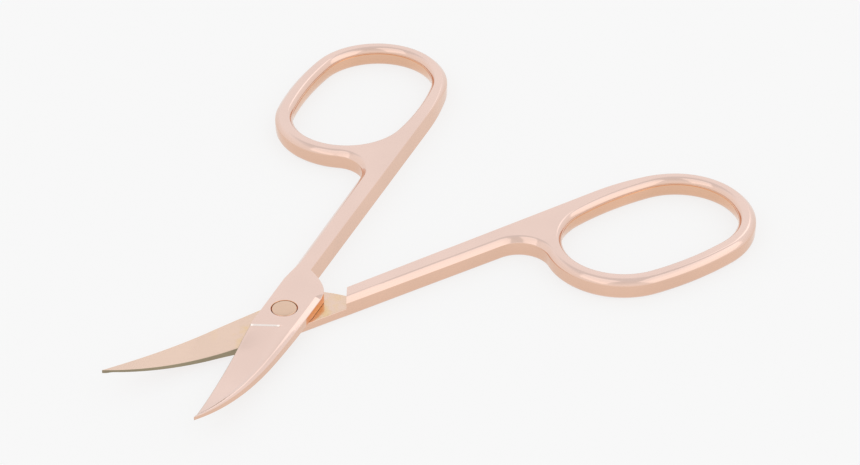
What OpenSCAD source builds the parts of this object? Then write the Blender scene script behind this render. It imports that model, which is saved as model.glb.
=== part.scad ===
// Curved-blade cuticle scissors: two forged halves turning on one flush rivet.
// Each half is drawn closed, with its finger ring towards -Y and its tip towards -X,
// then turned about the rivet. The upper half is the mirror image with its blade on top.

/* [Overall] */
// Angle between the two halves as they lie, measured from fully closed
open_angle = 35.4; // [10:0.1:60]
// Full thickness of the finger rings and shanks
body_t = 2.9; // [2.6:0.1:3.4]
// Gap between the two mating faces
mating_gap = 0.06; // [0.04:0.01:0.12]
// Radius on the edges of the rings and on the outer edges of the shanks
edge_r = 0.7; // [0.3:0.05:0.8]

/* [Finger rings] */
// Outside length of a ring
ring_length = 29.7; // [27:0.1:32]
// Outside width of a ring
ring_width = 21.1; // [19.5:0.1:23]
// Width of the bar that a ring is bent from
ring_bar = 2.35; // [2:0.05:3]
// Distance from the rivet to a ring's centre, along the shank
ring_x = 49.45; // [46:0.05:54]
// Distance from the rivet to a ring's centre, across the shank
ring_y = 10.65; // [10.6:0.05:12]
// Turn of a ring about its own centre
ring_tilt = 0.6; // [0:0.1:1]

/* [Shanks] */
// Distance from the rivet to the end of the full-thickness shank, on its inner side
stop_x = 8.8; // [8:0.1:9.2]
// Setback of the shank's inner side from the closing line, at that end
stop_y = 0.35; // [0.2:0.05:1]
// How far the shank's end leans back towards the rivet on its outer side
stop_lean = 1.5; // [0:0.1:2.5]
// Setback of the shank's outer side beside the rivet
outer_y = 2.7; // [2.2:0.05:3]
// Extra setback of the shank's outer side where it reaches the ring
outer_gain = 0.4; // [0:0.05:1]
// Radius of the hollow between shank and ring
web_r = 4; // [3:0.1:5]

/* [Blades] */
// Distance from the rivet to the tip
blade_length = 25.9; // [22:0.1:28]
// Width of the blade's back from the closing line, at the shoulder
shoulder_y = 3.4; // [3:0.05:4]
// Distance from the rivet to the shoulder, on the shank's side
shoulder_x = 4.6; // [4:0.1:6]
// Distance from the rivet at which the blades start to curve up
bend_start = 9.8; // [9.6:0.1:12]
// Radius of the upward curve
bend_r = 51; // [40:1:80]
// Blade thickness at the tip
tip_t = 0.45; // [0.35:0.05:0.7]

/* [Rivet] */
// Diameter of the rivet's flush ends
rivet_head_d = 3.5; // [3.2:0.1:3.8]
// Diameter of the rivet's shank
rivet_shank_d = 2.4; // [2:0.1:2.6]
// Depth of the flush ends
rivet_head_t = 0.7; // [0.5:0.05:0.9]
// Radial clearance in the upper half, which turns on the rivet
rivet_clearance = 0.04; // [0.02:0.01:0.08]

/* [Hidden] */
rose_gold = [0.91, 0.72, 0.64];
rivet_gold = [0.86, 0.66, 0.56];

past = 1;                       // how far cutters run past what they cut
dip = 0.04;                     // how far one shape dips into the next where they meet smoothly
curve_steps = 12;               // straight steps in each curved stretch of the blade's outline
bend_steps = 8;                 // conical bands in the upward curve
corner_steps = 4;               // straight steps in each rounded edge
$fn = 64;

// Rings: two half-round ends joined by straight sides
end_r = ring_width / 2;
end_c = ring_length / 2 - end_r;    // from the ring's centre to the centre of an end
ring_centre = [ring_x, -ring_y];
function turn(p, a) = [p.x * cos(a) - p.y * sin(a), p.x * sin(a) + p.y * cos(a)];
inner_end = ring_centre + turn([0, end_r - dip], ring_tilt);
near_end = ring_centre + turn([-end_c, 0], ring_tilt);

// Shank: its outer side is a straight line from beside the rivet to the hollow
outer_slope = outer_gain / (ring_x - ring_length / 2);
stop = [stop_x, -stop_y];
stop_foot_x = stop_x - stop_lean;
function outer_at(x) = -outer_y - outer_slope * x;

// Hollow between shank and ring: a circle that just dips into the outer side and the near end
hollow_drop = (web_r - dip) * sqrt(1 + pow(outer_slope, 2));
hollow_away = end_r + web_r - dip;
qa = 1 + pow(outer_slope, 2);
q0 = -outer_y - hollow_drop - near_end.y;
qb = -2 * near_end.x - 2 * outer_slope * q0;
qc = pow(near_end.x, 2) + pow(q0, 2) - pow(hollow_away, 2);
hollow_x = (-qb - sqrt(pow(qb, 2) - 4 * qa * qc)) / (2 * qa);
hollow = [hollow_x, outer_at(hollow_x) - hollow_drop];

// Blade: a cubic curve for the back and quadratic ones for the shoulder and the cutting edge
tip = [-blade_length, -0.05];
heel = [-4, outer_at(-4)];
shoulder = [shoulder_x, shoulder_y];
function cubic(a, b, c, d, t) =
    pow(1 - t, 3) * a + 3 * t * pow(1 - t, 2) * b + 3 * t * t * (1 - t) * c + pow(t, 3) * d;
function conic(a, b, c, t) = pow(1 - t, 2) * a + 2 * t * (1 - t) * b + t * t * c;
back_points = [for (i = [0:curve_steps])
    cubic(tip, [-0.72 * blade_length, 2.4], [-0.36 * blade_length, 3.2], shoulder, i / curve_steps)];
bulge_points = [for (i = [1:curve_steps / 2])
    conic(shoulder, [6.6, 2.9], stop, i / (curve_steps / 2))];
edge_points = [for (i = [0:curve_steps - 1])
    conic(heel, [-0.55 * blade_length, -2.1], tip, i / curve_steps)];

// Heights: the mating faces are surfaces of revolution about the rivet, so they match at any angle
lower_face = body_t / 2 - mating_gap / 2;
upper_face = body_t / 2 + mating_gap / 2;
reach = blade_length + 2;
function rise(r, bend) = bend - sqrt(pow(bend, 2) - pow(max(0, r - bend_start), 2));
tip_rise = rise(blade_length, bend_r);
radii = concat([0], [for (i = [0:bend_steps]) bend_start + (reach - bend_start) * i / bend_steps]);

// Radius of a bend that rises by the given height at the tip
function bend_for(height) = (pow(blade_length - bend_start, 2) + pow(height, 2)) / (2 * height);

// A quarter turn of edge_r about [y, z], as straight steps that start at angle a
function corner(y, z, a, r) = [for (i = [0:corner_steps])
    [y + r * cos(a + 90 * i / corner_steps), z + r * sin(a + 90 * i / corner_steps)]];

// Cross-section of the ring's bar, with rounded edges
module bar_section() {
    side = ring_bar / 2 - edge_r;
    top = body_t - edge_r;
    polygon(concat(corner(side, edge_r, -90, edge_r), corner(side, top, 0, edge_r),
        corner(-side, top, 90, edge_r), corner(-side, edge_r, 180, edge_r)));
}

// Finger ring, lying along X about the origin
module ring() {
    for (side = [0, 180]) rotate(side) {
        translate([end_c, 0]) rotate(-90) rotate_extrude(angle = 180)
            translate([end_r - ring_bar / 2, 0]) bar_section();
        translate([-end_c, end_r - ring_bar / 2, 0]) rotate([90, 0, 90])
            linear_extrude(2 * end_c) bar_section();
    }
}

// The area inside the middle of the ring's bar
module ring_core() {
    for (side = [-1, 1]) translate([side * end_c, 0]) circle(end_r - ring_bar / 2);
    square([2 * end_c, 2 * end_r - ring_bar], center = true);
}

// Whole half in plan apart from the ring: blade, shank and the web that meets the ring
module half_plan() {
    difference() {
        polygon(concat(back_points, bulge_points,
            [inner_end, ring_centre, [ring_x, hollow.y], hollow, [hollow_x, outer_at(hollow_x)]],
            edge_points));
        translate(hollow) circle(web_r);
        translate(ring_centre) rotate(ring_tilt) ring_core();
        translate([near_end.x, hollow.y - web_r]) square([end_c + past, web_r + past]);
    }
}

// Below or above a surface turned about the rivet, whose height follows a bend
module under_bend(z0, bend) {
    rotate_extrude() polygon(concat(
        [for (r = radii) [r, z0 + rise(r, bend)]], [[reach, -past], [0, -past]]));
}
module over_bend(z0, bend) {
    rotate_extrude() polygon(concat(
        [for (r = radii) [r, z0 + rise(r, bend)]],
        [[reach, body_t + tip_rise + 2 * past], [0, body_t + tip_rise + 2 * past]]));
}

// Everything on the blade's side; it ends inside the shank
module blade_side() {
    translate([-reach, -reach, -2 * past])
        cube([reach + stop_x + 0.6, 2 * reach, body_t + tip_rise + 5 * past]);
}

// Full-thickness stretch: shank and web, from the leaning end face on
module shank_slab() {
    linear_extrude(body_t) polygon([stop + [stop_lean, stop_x], stop, [stop_foot_x, outer_at(stop_foot_x)],
        [stop_foot_x - stop_lean, -ring_y - past], [ring_x + past, -ring_y - past],
        [ring_x + past, stop_x]]);
}

// Rounds the shank's two outer edges, from beside the rivet to the hollow
module shank_rounding() {
    translate([0, outer_at(0), 0]) rotate(-atan(outer_slope)) rotate([90, 0, 90])
        linear_extrude(hollow_x) {
            polygon(concat([[edge_r, -past], [-past, -past], [-past, edge_r]],
                corner(edge_r, edge_r, 180, edge_r * 1.04)));
            polygon(concat([[-past, body_t - edge_r], [-past, body_t + past], [edge_r, body_t + past]],
                corner(edge_r, body_t - edge_r, 90, edge_r * 1.04)));
        }
}

// One half; its blade's height is given by a child that fills the space between its two faces
module half() {
    difference() {
        intersection() {
            translate([0, 0, -past]) linear_extrude(body_t + tip_rise + 3 * past) half_plan();
            union() {
                shank_slab();
                intersection() {
                    children();
                    blade_side();
                }
            }
        }
        shank_rounding();
    }
    translate([ring_x, -ring_y, 0]) rotate(ring_tilt) ring();
}

module lower_half() {
    color(rose_gold) rotate(-open_angle / 2) difference() {
        half() intersection() {
            under_bend(lower_face, bend_r);
            over_bend(0, bend_for(tip_rise + lower_face - tip_t));
        }
        translate([0, 0, -past]) cylinder(d = rivet_shank_d, h = body_t + 2 * past);
        translate([0, 0, -past]) cylinder(d = rivet_head_d, h = past + rivet_head_t);
    }
}

module upper_half() {
    color(rose_gold) rotate(open_angle / 2) mirror([0, 1, 0]) difference() {
        half() intersection() {
            over_bend(upper_face, bend_r);
            under_bend(body_t, bend_for(tip_rise - (body_t - upper_face) + tip_t));
        }
        translate([0, 0, -past])
            cylinder(r = rivet_shank_d / 2 + rivet_clearance, h = body_t + 2 * past);
        translate([0, 0, body_t - rivet_head_t - rivet_clearance])
            cylinder(r = rivet_head_d / 2 + rivet_clearance, h = rivet_head_t + past);
    }
}

module pivot_rivet() {
    color(rivet_gold) union() {
        cylinder(d = rivet_head_d, h = rivet_head_t);
        cylinder(d = rivet_shank_d, h = body_t);
        translate([0, 0, body_t - rivet_head_t]) cylinder(d = rivet_head_d, h = rivet_head_t);
    }
}

lower_half();
upper_half();
pivot_rivet();
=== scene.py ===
"""Rose-gold curved-blade cuticle scissors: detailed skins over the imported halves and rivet."""
import math

import bmesh
import bpy
from mathutils import Matrix, Quaternion, Vector
from mathutils.geometry import tessellate_polygon


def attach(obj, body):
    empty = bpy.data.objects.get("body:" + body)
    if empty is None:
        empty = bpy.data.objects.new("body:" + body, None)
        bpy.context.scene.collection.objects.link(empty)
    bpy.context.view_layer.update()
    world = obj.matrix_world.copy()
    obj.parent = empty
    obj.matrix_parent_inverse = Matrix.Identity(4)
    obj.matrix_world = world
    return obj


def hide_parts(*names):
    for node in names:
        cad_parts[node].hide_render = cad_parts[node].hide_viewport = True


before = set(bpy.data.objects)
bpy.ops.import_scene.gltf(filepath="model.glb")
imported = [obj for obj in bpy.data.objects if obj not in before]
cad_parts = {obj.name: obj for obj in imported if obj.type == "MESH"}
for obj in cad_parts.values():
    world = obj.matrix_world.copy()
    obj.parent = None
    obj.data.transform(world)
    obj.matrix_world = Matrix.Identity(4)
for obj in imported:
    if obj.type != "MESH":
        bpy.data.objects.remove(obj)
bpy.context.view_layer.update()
MM = 0.001

# ---------------------------------------------------------------- sizes, in mm, as in the CAD
OPEN = 35.4                     # angle between the halves as they lie
T = 2.9                         # thickness of rings and shanks
GAP = 0.06                      # between the mating faces
PLATE = (T - GAP) / 2           # thickness of a ricasso
RING_A, RING_B, RING_END = 14.85, 10.55, 10.2   # outside half axes and end radius of a ring
BAR = 2.35
RING = Vector((49.45, -10.65))
TILT = math.radians(0.6)
LEAN = 1.5
OUTER_Y, OUTER_SLOPE = 2.7, 0.4 / 34.6
WEB_R = 4.0
TIP_X = 25.9
TIP = Vector((-TIP_X, -0.05))
SHOULDER = Vector((4.6, 3.4))
BEND_START, BEND_R = 9.8, 51.0

# ---------------------------------------------------------------- sizes only the skins have
JOIN_X = 24.0                   # where the lofted shank meets the outlined web and ring
PLUNGE = Vector((-3.3, 1.47))   # inner end of the step where the hollow grind begins
PLUNGE_SLOPE, PLUNGE_STEP, PLUNGE_DEEP = 0.317, 0.17, 0.17
CRISP = 0.1                     # width of an edge that is left sharp
BEVEL_W, BEVEL_H = 0.85, 0.76   # broad bevel on top along a shank's outer side
RING_W, RING_H = 0.9, 0.84      # the same round a ring
UNDER_R = 0.62                  # rounding underneath along a shank's outer side
HOLE_SHIFT = Vector((0.1, 0.08))
HOLE_TOP, HOLE_LOW = (0.72, 0.74, 0.6), (0.7, 1.6, 0.1)     # width, height, flatness of a hole's edges
SEAM_DEEP, SEAM_HALF, SEAM_CUT = 0.86, 0.08, 0.05           # parting line in the wall of a hole
PIN_R, BORE_R = 1.2, 1.24       # the rivet's shank, and the bore it turns in
RECESS_R = 1.70                 # round the rivet's heads
HEAD_LOW, HEAD_UP, CLEAR = 0.70, 0.72, 0.02     # thickness of the heads, and the gap behind them
CORNER = 7                      # points round each edge
ACROSS = 13                     # points across each broad face
POLISH, GROUND, EDGE_SHADE, AMBER, WALL_REFLECTION, STEP_HIGHLIGHT = range(6)      # material slots of a half; the last four carry painted shade, reflections and highlight


def lerp(a, b, t):
    return a + (b - a) * t


def smooth(t):
    t = min(1.0, max(0.0, t))
    return t * t * (3 - 2 * t)


def track(x, *stops):
    """Piecewise linear value at x; stops are (x, value) with x falling."""
    if x >= stops[0][0]:
        return stops[0][1]
    for (xa, va), (xb, vb) in zip(stops, stops[1:]):
        if x >= xb:
            return lerp(va, vb, (xa - x) / (xa - xb))
    return stops[-1][1]


def turn(p, a):
    return Vector((p[0] * math.cos(a) - p[1] * math.sin(a), p[0] * math.sin(a) + p[1] * math.cos(a)))


def cubic(a, b, c, d, t):
    return a * (1 - t) ** 3 + b * 3 * t * (1 - t) ** 2 + c * 3 * t * t * (1 - t) + d * t ** 3


def conic(a, b, c, t):
    return a * (1 - t) ** 2 + b * 2 * t * (1 - t) + c * t * t


def curve_y(points, x):
    for p, q in zip(points, points[1:]):
        if min(p.x, q.x) <= x <= max(p.x, q.x):
            return lerp(p.y, q.y, (x - p.x) / (q.x - p.x))
    return points[-1].y


# ---------------------------------------------------------------- plan of one half
END_C = RING_A - RING_END
SIDE_R = (END_C ** 2 + RING_B ** 2 - RING_END ** 2) / (2 * (RING_B - RING_END))
SIDE_C = SIDE_R - RING_B
END_TURN = math.atan2(SIDE_C, END_C)


def outer_at(x):
    return -OUTER_Y - OUTER_SLOPE * x


def rise(p):
    """Upward bend of the mating face at a point of the plan."""
    r = p.length
    if p.x > 0 or r <= BEND_START:
        return 0.0
    return BEND_R - math.sqrt(BEND_R ** 2 - (r - BEND_START) ** 2)


def back_curve(outer, inner):
    """The blade's back, from the tip to the shoulder, through two control heights."""
    return [cubic(TIP, Vector((-0.72 * TIP_X, outer)), Vector((-0.36 * TIP_X, inner)), SHOULDER, i / 80)
            for i in range(81)]


# the two halves were ground by hand, and differ a little: end of the shank, and curve of the back
HAND = {1: (Vector((8.8, -0.22)), back_curve(2.45, 3.4)), -1: (Vector((9.0, -0.48)), back_curve(2.2, 2.75))}
HEEL = Vector((-4, outer_at(-4)))
EDGE = [conic(HEEL, Vector((-0.55 * TIP_X, -2.1)), TIP, i / 80) for i in range(81)]


def edge_y(x):
    return outer_at(x) if x >= HEEL.x else curve_y(EDGE, x)


def plunge_x(y):
    """Where the hollow grind begins, which is on a slant."""
    return PLUNGE.x - PLUNGE_SLOPE * (PLUNGE.y - y)


def on_ring(p):
    return RING + turn(p, TILT)


def inner_slope(stop):
    """Angle of the straight inner side, from the shank's end to where it touches the ring."""
    away = on_ring((0, -SIDE_C)) - stop
    return math.atan2(away.y, away.x) + math.asin(SIDE_R / away.length)


def arc(centre, r, a0, a1, n, inward=False):
    """Points from angle a0 to a1 with the outward normal of the metal, in the ring's own frame."""
    out = []
    for i in range(n + 1):
        a = lerp(a0, a1, i / n)
        d = Vector((math.cos(a), math.sin(a)))
        out.append((Vector(centre) + d * r, -d if inward else d))
    return out


def hole_outline(inset):
    """Closed loop of the finger hole, clockwise from the top left, as (point, outward normal)."""
    et = END_TURN
    loop = arc((0, -SIDE_C), SIDE_R - inset, math.pi - et, et, 18, True)[:-1]
    loop += arc((END_C, 0), RING_END - inset, et, -et, 72, True)[:-1]
    loop += arc((0, SIDE_C), SIDE_R - inset, -et, et - math.pi, 18, True)[:-1]
    loop += arc((-END_C, 0), RING_END - inset, et + math.pi, math.pi - et, 72, True)[:-1]
    return [(on_ring(p) + HOLE_SHIFT, turn(n, TILT)) for p, n in loop]


def web_hollow(near):
    """Centre of the hollow that touches the outer side and the ring's near end, centred at near."""
    sec = math.sqrt(1 + OUTER_SLOPE ** 2)

    def hollow_at(x):
        return Vector((x, outer_at(x) - WEB_R * sec))

    lo, hi = near.x - RING_END - WEB_R, near.x
    for _ in range(60):
        mid = (lo + hi) / 2
        if (hollow_at(mid) - near).length > RING_END + WEB_R:
            lo = mid
        else:
            hi = mid
    return hollow_at((lo + hi) / 2)


def outline(stop):
    """Open path from the join, along the inner side, round the ring and back along the outer side.
    Each entry is (point, outward normal, kind) with kind inner, ring, web or outer."""
    slope = inner_slope(stop)
    run = math.sqrt((on_ring((0, -SIDE_C)) - stop).length ** 2 - SIDE_R ** 2)
    along = Vector((math.cos(slope), math.sin(slope)))
    touch = stop + along * run
    normal = Vector((-along.y, along.x))
    path = []
    n = 24
    for i in range(n):
        x = lerp(JOIN_X, touch.x, i / n)
        path.append((stop + along * ((x - stop.x) / along.x), normal, "inner"))

    et = END_TURN
    near = on_ring((-END_C, 0))
    hollow = web_hollow(near)
    d = hollow - near
    ring = arc((0, -SIDE_C), SIDE_R, slope + math.pi / 2 - TILT, et, 14)[:-1]
    ring += arc((END_C, 0), RING_END, et, -et, 72)[:-1]
    ring += arc((0, SIDE_C), SIDE_R, -et, et - math.pi, 18)[:-1]
    ring += arc((-END_C, 0), RING_END, et + math.pi, math.atan2(d.y, d.x) - TILT, 56)[:-1]
    path += [(on_ring(p), turn(m, TILT), "ring") for p, m in ring]

    a0 = math.atan2(-d.y, -d.x)
    a1 = math.pi / 2 - math.atan(OUTER_SLOPE)
    path += [(p, m, "web") for p, m in arc(hollow, WEB_R, a0, a1, 26, inward=True)]
    last = path[-1][0]
    down = Vector((-OUTER_SLOPE, -1)).normalized()
    n = 10
    for i in range(1, n + 1):
        x = lerp(last.x, JOIN_X, i / n)
        path.append((Vector((x, outer_at(x))), down, "outer"))
    return path


# ---------------------------------------------------------------- sections of one half
def edge_shape(flat):
    """Unit shape of an edge from the broad face (1, 0) to the side (0, 1): round, or a flat bevel."""
    bevel = [(1, 0), (0.86, 0.03), (0.70, 0.15), (0.40, 0.50), (0.10, 0.84), (0.02, 0.94), (0, 1)]
    pts = []
    for i, (across, deep) in enumerate(bevel):
        a = math.pi / 2 * i / (CORNER - 1)
        pts.append((lerp(1 - math.sin(a), across, flat), lerp(1 - math.cos(a), deep, flat)))
    return pts


def stations(stop, back):
    """(back point, edge point, kind) from the join to the tip, with the blade's stations turned
    parallel to the line where the hollow grind begins."""
    rows = []
    for i in range(9):
        t = i / 8
        xb, xe = lerp(JOIN_X, stop.x, t), lerp(JOIN_X, stop.x - LEAN, t)
        yb = stop.y + math.tan(inner_slope(stop)) * (xb - stop.x)
        rows.append((Vector((xb, yb)), Vector((xe, outer_at(xe))), "shank"))
    n = 14
    for i in range(n + 1):
        t = i / n
        xe = lerp(stop.x - LEAN, SHOULDER.x - 0.6, t)
        rows.append((conic(stop, Vector((6.6, 2.9)), SHOULDER, t), Vector((xe, outer_at(xe))), "plate"))
    ridge_x = plunge_x(curve_y(back, PLUNGE.x))
    xs, x = [], SHOULDER.x - 0.06
    while x > ridge_x + 0.2:
        xs.append(x)
        x -= 0.12 if x > 3.5 else 0.3
    xs += [ridge_x + PLUNGE_STEP / 2, ridge_x - PLUNGE_STEP / 2]
    x = xs[-1] - 0.3
    while x > -TIP_X + 0.12:
        xs.append(x)
        x -= 0.3 if x > -TIP_X + 3 else 0.12
    xs.append(-TIP_X + 0.03)
    for x in xs:
        y = curve_y(back, x)
        slant = PLUNGE_SLOPE * (y + 2.7)
        lean = track(x, (SHOULDER.x, 0.6), (ridge_x + 1.2, slant), (ridge_x - 1.2, slant),
                     (-0.7 * TIP_X, 0.0))
        rows.append((Vector((x, y)), Vector((x - lean, edge_y(x - lean))), "plate"))
    return rows


def plate_t(x):
    """Thickness of the blade along its back."""
    return track(x, (-4.0, PLATE), (-14.0, 1.12), (-21.0, 0.78), (-TIP_X, 0.45))


def edge_t(x):
    """Thickness left at the cutting edge."""
    return track(x, (-4.0, PLATE - 0.36), (-9.0, 0.72), (-16.0, 0.52), (-TIP_X, 0.3))


def bevel_at(x):
    """(width, height) of the bevel along the blade's back."""
    w = track(x, (SHOULDER.x, 0.0), (SHOULDER.x - 0.8, 0.86), (-4.0, 0.84), (-14.0, 0.5), (-TIP_X, 0.08))
    h = track(x, (SHOULDER.x, 0.0), (SHOULDER.x - 0.8, 0.34), (-4.0, 0.35), (-14.0, 0.3), (-TIP_X, 0.08))
    return w, h


def outer_height(p, back):
    """Height of the blade's outer face above the mating face, with its hollow grind."""
    bevel_y = curve_y(back, max(p.x, -TIP_X)) - bevel_at(p.x)[0]
    ridge = bevel_y if p.x < -15 else track(p.x, (PLUNGE.x, PLUNGE.y), (-15.0, bevel_y))
    if p.x >= plunge_x(p.y):
        return plate_t(p.x)
    reach = max(0.2, ridge - edge_y(max(p.x, -TIP_X)))
    part = min(1.0, max(0.0, (ridge - p.y) / reach))
    full = max(0.0, plate_t(p.x) - edge_t(p.x))
    first = min(PLUNGE_DEEP, full)
    grow = smooth((plunge_x(p.y) - p.x) / 7)
    return plate_t(p.x) - (first * smooth((ridge - p.y) / 0.5) + grow * part * (full - first))


def section(b, e, kind, sign, back):
    """Closed loop of points of one station: round the back, across the mating face, round the
    cutting side, and across the outer face. Height is measured outwards from the mating face."""
    shank = kind == "shank"
    d = (e - b).normalized()
    wide = (e - b).length
    low = -(T - PLATE) if shank else 0.0

    def height(p):
        return PLATE if shank else outer_height(p, back)

    # widths and heights of the four edges: outer and mating, at the back and at the cutting side
    fine = CRISP if shank else 0.06
    bw, bh = (fine, fine) if b.x >= SHOULDER.x else bevel_at(b.x)
    bw, bh = min(max(bw, 0.04), wide * 0.4), max(bh, 0.04)
    lo_b = min(CRISP if shank else 0.03, wide * 0.1)
    lo_w = lo_h = min(UNDER_R if shank else 0.03, wide * 0.2)
    if sign > 0:
        ew = track(e.x, (9.5, BEVEL_W), (6.0, 0.14), (-4.5, 0.06))
        eh = track(e.x, (9.5, BEVEL_H), (6.0, 0.14), (-4.5, 0.06))
        flat_e, flat_lo = 1.0, 0.0
    else:
        ew = eh = UNDER_R if shank else track(e.x, (0.5, UNDER_R), (-4.5, 0.06))
        flat_e, flat_lo = 0.0, 1.0
        if shank:
            lo_w, lo_h = BEVEL_W, BEVEL_H
    ew = min(ew, wide * 0.3)
    top_b, top_e = height(b + d * bw), height(e - d * ew)
    if not shank:
        eh = min(eh, top_e * 0.6)

    pts = [(b + d * (bw * s), top_b - bh * t) for s, t in edge_shape(1.0)]
    pts += [(b + d * (lo_b * s), low + lo_b * t) for s, t in reversed(edge_shape(0.0))]
    pts += [(b + d * lerp(lo_b, wide - lo_w, i / ACROSS), low) for i in range(1, ACROSS)]
    pts += [(e - d * (lo_w * s), low + lo_h * t) for s, t in edge_shape(flat_lo)]
    pts += [(e - d * (ew * s), top_e - eh * t) for s, t in reversed(edge_shape(flat_e))]
    for i in range(1, ACROSS):
        q = b + d * lerp(wide - ew, bw, i / ACROSS)
        pts.append((q, height(q)))
    return pts


def rim_strips(stop, sign):
    """Points round the edges of web and ring, one strip for each entry of the outline."""
    path = outline(stop)
    low = -(T - PLATE)
    total = [0.0]
    for (p, _, _), (q, _, _) in zip(path, path[1:]):
        total.append(total[-1] + (q - p).length)
    at_ring = total[next(i for i, e in enumerate(path) if e[2] == "ring")]
    at_web = total[next(i for i, e in enumerate(path) if e[2] == "web")]
    strips = []
    for (p, m, _), s in zip(path, total):
        g = smooth((s - at_ring + 2) / 12)          # from crisp inner side to rounded ring
        o = smooth((s - at_web + 6) / 9)            # from ring to bevelled outer side
        hi_w = lerp(lerp(CRISP, RING_W, g), BEVEL_W, o)
        hi_h = lerp(lerp(CRISP, RING_H, g), BEVEL_H, o)
        lo_r = lerp(lerp(CRISP, RING_W, g), UNDER_R, o)
        hi, lo = (hi_w, hi_h, max(lerp(1 - g, 1.0, o), 0.6)), (lo_r, lo_r, 0.0)
        strips.append(edge_pair(p, m, low, *((hi, lo) if sign > 0 else (lo, hi))))
    return strips


def hole_strips(sign):
    """Points down the wall of the finger hole, with the parting line the forging left."""
    low = -(T - PLATE)
    seam = PLATE - SEAM_DEEP if sign > 0 else low + SEAM_DEEP
    edges = (HOLE_TOP, HOLE_LOW) if sign > 0 else (HOLE_LOW, HOLE_TOP)
    strips = []
    for p, m in hole_outline(BAR - 0.05):
        strip = edge_pair(p, m, low, *edges)
        strip[CORNER:CORNER] = [(p, seam + SEAM_HALF), (p - m * SEAM_CUT, seam), (p, seam - SEAM_HALF)]
        strips.append(strip)
    return strips


def edge_pair(p, m, low, first, last):
    """Points from the outer face round edge first and down to the mating side's edge last."""
    strip = [(p - m * (first[0] * a), PLATE - first[1] * c) for a, c in edge_shape(first[2])]
    strip += [(p - m * (last[0] * a), low + last[1] * c) for a, c in reversed(edge_shape(last[2]))]
    return strip


# ---------------------------------------------------------------- one half as a mesh
def build_half(name, sign, mats):
    """sign +1 is the upper half, whose outer face is up, and -1 the lower half."""
    stop, back = HAND[sign]
    bm = bmesh.new()
    side = -1 if sign > 0 else 1
    face_z = (T + GAP) / 2 if sign > 0 else (T - GAP) / 2
    C, A = CORNER, ACROSS

    def vert(p, z):
        return bm.verts.new((p.x * MM, side * p.y * MM, (face_z + sign * z + rise(p)) * MM))

    def quad(strip, after, k, slot=POLISH):
        j = (k + 1) % len(strip)
        bm.faces.new((strip[k], strip[j], after[j], after[k])).material_index = slot

    # blade and shank, lofted
    rows = stations(stop, back)
    loops = [[vert(p, z) for p, z in section(b, e, kind, sign, back)] for b, e, kind in rows]
    across = 4 * C + A - 2      # first face across the outer side
    for (b, e, kind), (b2, _, kind2), loop, after in zip(rows, rows[1:], loops, loops[1:]):
        plate = kind == kind2 == "plate"
        plunge = plate and b.x >= plunge_x(b.y) and b2.x < plunge_x(b2.y)
        for k in range(len(loop)):
            slot = POLISH
            if plate and 2 * C - 2 <= k <= 2 * C + A - 1:
                slot = GROUND
            # painted shade: the cutting side's edges along the blade take a dark tone for the dark
            # reflection of the shadow beneath
            elif plate and e.x < -4.3 and 2 * C + A <= k <= 4 * C + A - 3:
                slot = EDGE_SHADE
            # painted warm reflection on the upper blade's back side by the ricasso
            elif plate and sign > 0 and -0.5 < b.x <= SHOULDER.x and k == C - 1:
                slot = AMBER
            # painted highlight on the outer face of the step where the hollow grind begins
            elif plunge and k >= across and lerp(e, b, (k - across) / A).y < PLUNGE.y:
                slot = STEP_HIGHLIGHT
            quad(loop, after, k, slot)
    bm.faces.new(loops[-1])

    # edges of web and ring, which start and end on the shank's last section
    first = loops[0]
    rim = [first[:2 * C]]
    rim += [[vert(p, z) for p, z in strip] for strip in rim_strips(stop, sign)[1:-1]]
    rim += [list(reversed(first[2 * C + A - 1:4 * C + A - 1]))]
    for strip, after in zip(rim, rim[1:]):
        for k in range(2 * C - 1):
            quad(strip, after, k)
    hole = [[vert(p, z) for p, z in strip] for strip in hole_strips(sign)]
    for strip, after in zip(hole, hole[1:] + hole[:1]):
        for k in range(len(strip) - 1):
            # painted warm reflection: the seam takes the amber tone, and the wall below it the darker orange
            # wall tone
            slot = AMBER if C <= k <= C + 1 else WALL_REFLECTION if (k > C) == (sign > 0) else POLISH
            quad(strip, after, k, slot)

    # broad faces of web and ring
    for k, inner in ((0, first[4 * C + A - 1:]), (2 * C - 1, list(reversed(first[2 * C:2 * C + A - 1])))):
        edge = [strip[k] for strip in rim] + list(inner)
        hole_edge = [strip[0 if k == 0 else -1] for strip in hole]
        verts = edge + hole_edge
        for tri in tessellate_polygon([[v.co for v in edge], [v.co for v in hole_edge]]):
            bm.faces.new([verts[i] for i in tri])

    bmesh.ops.remove_doubles(bm, verts=bm.verts[:], dist=2e-6)
    bmesh.ops.dissolve_degenerate(bm, edges=bm.edges[:], dist=1e-6)
    obj = to_object(name, bm, mats)
    obj.data.transform(Matrix.Rotation(math.radians(OPEN / 2 * sign), 4, "Z"))
    return obj


def to_object(name, bm, mats=()):
    bmesh.ops.recalc_face_normals(bm, faces=bm.faces[:])
    for f in bm.faces:
        f.smooth = True
    mesh = bpy.data.meshes.new(name)
    for m in mats:
        mesh.materials.append(m)
    bm.to_mesh(mesh)
    bm.free()
    obj = bpy.data.objects.new(name, mesh)
    bpy.context.collection.objects.link(obj)
    return obj


def lathe(name, profile, mats=(), steps=96):
    """Closed body of revolution about Z from (radius, height) in mm, first and last on the axis."""
    bm = bmesh.new()
    rings = []
    for r, z in profile:
        turns = [2 * math.pi * i / steps for i in range(steps)] if r else [0]
        rings.append([bm.verts.new((r * MM * math.cos(a), r * MM * math.sin(a), z * MM)) for a in turns])
    for a, b in zip(rings, rings[1:]):
        for i in range(steps):
            j = (i + 1) % steps
            if len(a) == 1:
                bm.faces.new((a[0], b[i], b[j]))
            elif len(b) == 1:
                bm.faces.new((a[i], b[0], a[j]))
            else:
                bm.faces.new((a[i], b[i], b[j], a[j]))
    return to_object(name, bm, mats)


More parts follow.
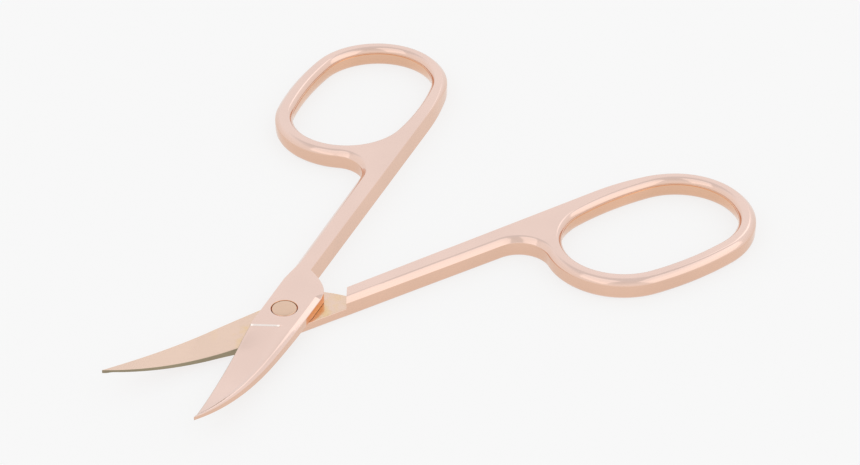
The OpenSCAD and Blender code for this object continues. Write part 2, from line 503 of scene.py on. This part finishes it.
def apply_modifiers(obj):
    deps = bpy.context.evaluated_depsgraph_get()
    new = bpy.data.meshes.new_from_object(obj.evaluated_get(deps))
    obj.modifiers.clear()
    obj.data = new


def cut(obj, cutter):
    mod = obj.modifiers.new("cut", "BOOLEAN")
    mod.operation, mod.solver, mod.object = "DIFFERENCE", "EXACT", cutter
    bpy.context.view_layer.update()
    apply_modifiers(obj)
    bpy.data.objects.remove(cutter)


def crisp(obj, angle=24):
    """Smooth shading with hard edges above an angle, and flat faces that stay flat."""
    mesh = obj.data
    mesh.polygons.foreach_set("use_smooth", [True] * len(mesh.polygons))
    mesh.set_sharp_from_angle(angle=math.radians(angle))
    mod = obj.modifiers.new("weights", "WEIGHTED_NORMAL")
    mod.mode, mod.weight, mod.keep_sharp = "FACE_AREA", 60, True
    apply_modifiers(obj)


# ---------------------------------------------------------------- materials
def metal(name, top, side, rough, vary=0.04, grain=0.0, wear=None):
    """Plated metal: a paler tone where it faces up or down and a warmer one on its sides, which is
    painted reflection of the bright surroundings on flat faces and of the darker floor on sides,
    with a faint clouding, fine grain, and worn golden patches round the rivet where wear is given."""
    mat = bpy.data.materials.new(name)
    mat.use_nodes = True
    nodes, links = mat.node_tree.nodes, mat.node_tree.links
    bsdf = nodes["Principled BSDF"]
    bsdf.inputs["Metallic"].default_value = 1.0
    pos = nodes.new("ShaderNodeTexCoord")

    def noise(scale, detail):
        n = nodes.new("ShaderNodeTexNoise")
        n.inputs["Scale"].default_value = scale
        n.inputs["Detail"].default_value = detail
        links.new(pos.outputs["Object"], n.inputs["Vector"])
        return n.outputs["Fac"]

    def remap(value, a, b, lo, hi):
        n = nodes.new("ShaderNodeMapRange")
        n.inputs["From Min"].default_value, n.inputs["From Max"].default_value = a, b
        n.inputs["To Min"].default_value, n.inputs["To Max"].default_value = lo, hi
        links.new(value, n.inputs["Value"])
        return n.outputs["Result"]

    def mix(fac, a, b, blend="MIX"):
        n = nodes.new("ShaderNodeMix")
        n.data_type, n.blend_type = "RGBA", blend
        if isinstance(fac, float):
            n.inputs["Factor"].default_value = fac
        else:
            links.new(fac, n.inputs["Factor"])
        for value, key in ((a, 6), (b, 7)):
            if isinstance(value, tuple):
                n.inputs[key].default_value = (*value, 1)
            else:
                links.new(value, n.inputs[key])
        return n.outputs[2]

    def product(a, b):
        n = nodes.new("ShaderNodeMath")
        n.operation = "MULTIPLY"
        links.new(a, n.inputs[0])
        if isinstance(b, float):
            n.inputs[1].default_value = b
        else:
            links.new(b, n.inputs[1])
        return n.outputs[0]

    geo = nodes.new("ShaderNodeNewGeometry")
    split = nodes.new("ShaderNodeSeparateXYZ")
    links.new(geo.outputs["Normal"], split.inputs[0])
    up = nodes.new("ShaderNodeMath")
    up.operation = "ABSOLUTE"
    links.new(split.outputs["Z"], up.inputs[0])
    # painted reflection: faces turned up or down take the pale top tone, sides the warmer side tone
    facing = remap(up.outputs[0], 0.32, 0.85, 0.0, 1.0)
    cloud = remap(noise(120, 3), 0.35, 0.7, 0.0, 1.0)
    dim = mix(cloud, (1 - vary, 1 - vary, 1 - vary), (1.0, 1.0, 1.0))
    colour = mix(1.0, mix(facing, side, top), dim, "MULTIPLY")
    if wear:
        away = nodes.new("ShaderNodeVectorMath")
        away.operation = "LENGTH"
        links.new(pos.outputs["Object"], away.inputs[0])
        near = remap(away.outputs["Value"], 0.0105, 0.0055, 0.0, 1.0)
        patch = remap(noise(330, 4), 0.54, 0.66, 0.0, 1.0)
        colour = mix(product(product(near, patch), 0.6), colour, wear)
    links.new(colour, bsdf.inputs["Base Color"])
    fine = noise(1500, 4)
    links.new(remap(fine, 0.3, 0.7, rough * 0.8, rough * 1.25), bsdf.inputs["Roughness"])
    if grain:
        bump = nodes.new("ShaderNodeBump")
        bump.inputs["Strength"].default_value = grain
        bump.inputs["Distance"].default_value = 0.00002
        links.new(fine, bump.inputs["Height"])
        links.new(bump.outputs["Normal"], bsdf.inputs["Normal"])
    return mat


# in the order of the slots above: polished, ground, painted edge shade, painted amber reflection, painted
# wall reflection, painted step highlight
# each metal's top and side tones are painted reflection, mixed by the way a face is turned
HALF_METALS = (
    metal("rose_gold_polish", (0.85, 0.645, 0.57), (0.80, 0.53, 0.40), 0.12, grain=0.12),
    metal("rose_gold_ground", (0.83, 0.625, 0.51), (0.80, 0.56, 0.42), 0.22, vary=0.05, grain=0.15,
          wear=(0.82, 0.58, 0.27)),
    # dark painted shade on the cutting side's edges along the blade
    metal("edge_painted_shade", (0.40, 0.34, 0.24), (0.37, 0.31, 0.21), 0.35, vary=0.2, grain=0.5),
    metal("amber_reflections", (0.80, 0.47, 0.30), (0.85, 0.39, 0.18), 0.14, vary=0.12, grain=0.12),
    # darker orange painted reflection on the lower wall of each finger hole
    metal("hole_wall_painted_reflection", (0.82, 0.54, 0.40), (0.83, 0.52, 0.36), 0.14, vary=0.08, grain=0.12),
    # pale painted highlight on the step where the hollow grind begins
    metal("plunge_step_painted_highlight", (0.98, 0.89, 0.84), (0.98, 0.88, 0.82), 0.10))
# the rivet's deep orange side tone is painted warm shade in the narrow groove round its heads
RIVET_METAL = metal("rivet_face", (0.78, 0.555, 0.42), (0.80, 0.36, 0.17), 0.2, vary=0.06, grain=0.2)

# ---------------------------------------------------------------- pieces
upper = build_half("upper_half_skin", 1, HALF_METALS)
lower = build_half("lower_half_skin", -1, HALF_METALS)
seat_up, seat_low = T - HEAD_UP - CLEAR, HEAD_LOW + CLEAR
cut(upper, lathe("bore_up", [(0, 0.5), (BORE_R, 0.5), (BORE_R, seat_up), (RECESS_R, seat_up),
                             (RECESS_R, T - 0.07), (RECESS_R + 0.05, T + 0.001),
                             (RECESS_R + 0.05, T + 1), (0, T + 1)]))
cut(lower, lathe("bore_low", [(0, -1), (RECESS_R, -1), (RECESS_R, seat_low), (BORE_R, seat_low),
                              (BORE_R, T), (0, T)]))
for poly in upper.data.polygons:        # warm reflections in the recess round the rivet's head
    c = poly.center
    if abs(math.hypot(c.x, c.y) / MM - RECESS_R) < 0.06 and abs(poly.normal.z) < 0.9:
        poly.material_index = AMBER
rivet = lathe("pivot_rivet_skin", [(0, 0.0), (1.5, 0.0), (1.57, 0.02), (1.62, 0.12), (1.62, HEAD_LOW),
                                   (PIN_R, HEAD_LOW), (PIN_R, T - HEAD_UP), (1.66, T - HEAD_UP),
                                   (1.66, T - 0.20), (1.62, T - 0.08), (1.56, T - 0.02), (1.47, T),
                                   (0.8, T), (0, T)], (RIVET_METAL,))
for obj, node, body, slot in ((upper, "upper_half", "upper", "rose_gold_steel"),
                              (lower, "lower_half", "lower", "rose_gold_steel"),
                              (rivet, "pivot_rivet", "lower", "rivet_steel")):
    crisp(obj)
    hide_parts(node)
    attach(obj, body)

# ---------------------------------------------------------------- floor
REACH, BELOW = 6.0, -0.00002
floor_mesh = bpy.data.meshes.new("floor")
floor_mesh.from_pydata([(x * REACH, y * REACH, BELOW) for x, y in ((-1, -1), (1, -1), (1, 1), (-1, 1))],
                       [], [(0, 1, 2, 3)])
floor_mat = bpy.data.materials.new("floor_pale")
floor_mat.use_nodes = True
floor_bsdf = floor_mat.node_tree.nodes["Principled BSDF"]
floor_bsdf.inputs["Base Color"].default_value = (0.18, 0.18, 0.18, 1)
floor_bsdf.inputs["Roughness"].default_value = 0.9
floor_bsdf.inputs["Specular IOR Level"].default_value = 0.0
floor_bsdf.inputs["Emission Color"].default_value = (1, 1, 1, 1)
floor_bsdf.inputs["Emission Strength"].default_value = 0.762
floor_mesh.materials.append(floor_mat)
floor = bpy.data.objects.new("floor", floor_mesh)
bpy.context.collection.objects.link(floor)

# ---------------------------------------------------------------- surroundings, paler low down than overhead
world = bpy.data.worlds.new("studio")
world.use_nodes = True
world_nodes, world_links = world.node_tree.nodes, world.node_tree.links
sky = world_nodes.new("ShaderNodeTexCoord")
sky_split = world_nodes.new("ShaderNodeSeparateXYZ")
sky_ramp = world_nodes.new("ShaderNodeValToRGB")
stops = sky_ramp.color_ramp.elements
stops[0].position, stops[0].color = 0.0, (0.93, 0.93, 0.93, 1)
stops[1].position, stops[1].color = 1.0, (0.80, 0.80, 0.80, 1)
for where, level in ((0.35, 0.99), (0.66, 0.99), (0.80, 0.83)):
    stops.new(where).color = (level, level, level, 1)
world_links.new(sky.outputs["Generated"], sky_split.inputs[0])
world_links.new(sky_split.outputs["Z"], sky_ramp.inputs["Fac"])
world_links.new(sky_ramp.outputs["Color"], world_nodes["Background"].inputs["Color"])
bpy.context.scene.world = world

# ---------------------------------------------------------------- camera and lights
EL, AZ = math.radians(35.416), math.radians(49.49)
LENS, DIST, ROLL = 125.62, 0.3929, math.radians(-0.902)
AXIS = Vector((0.018625, 0.014911))     # from the rivet to where the lens looks, right and away


def in_row(right, away, up):
    """A point given from the rivet as the camera sees the table: to the right, away, and up."""
    return Vector((right * math.cos(AZ) + away * math.sin(AZ),
                   -right * math.sin(AZ) + away * math.cos(AZ), up))


def softbox(name, right, away, up, w, h, power):
    data = bpy.data.lights.new(name, "AREA")
    data.shape, data.size, data.size_y, data.energy = "RECTANGLE", w, h, power
    ob = bpy.data.objects.new(name, data)
    bpy.context.collection.objects.link(ob)
    ob.location = in_row(right, away, up)
    ob.rotation_mode = "QUATERNION"
    ob.rotation_quaternion = ob.location.to_track_quat("Z", "Y")


softbox("key", -0.45, -0.42, 0.95, 0.72, 0.75, 0.46)
softbox("side", 0.72, -0.20, 0.66, 0.95, 0.72, 0.62)
softbox("rim", 0.49, 0.78, 0.77, 0.45, 0.45, 0.22)

cam_data = bpy.data.cameras.new("camera")
cam_data.lens = LENS
cam_data.sensor_width = 36
cam_data.shift_y = 0.006035
cam_data.clip_start, cam_data.clip_end = 0.01, 20
cam = bpy.data.objects.new("camera", cam_data)
bpy.context.collection.objects.link(cam)
cam.location = in_row(AXIS.x, AXIS.y - DIST * math.cos(EL), T * MM + DIST * math.sin(EL))
ahead = in_row(AXIS.x, AXIS.y, T * MM) - cam.location
cam.rotation_mode = "QUATERNION"
cam.rotation_quaternion = ahead.to_track_quat("-Z", "Y") @ Quaternion((0, 0, 1), ROLL)
bpy.context.scene.camera = cam
bpy.context.scene.view_settings.view_transform = "Standard"

bpy.context.view_layer.update()
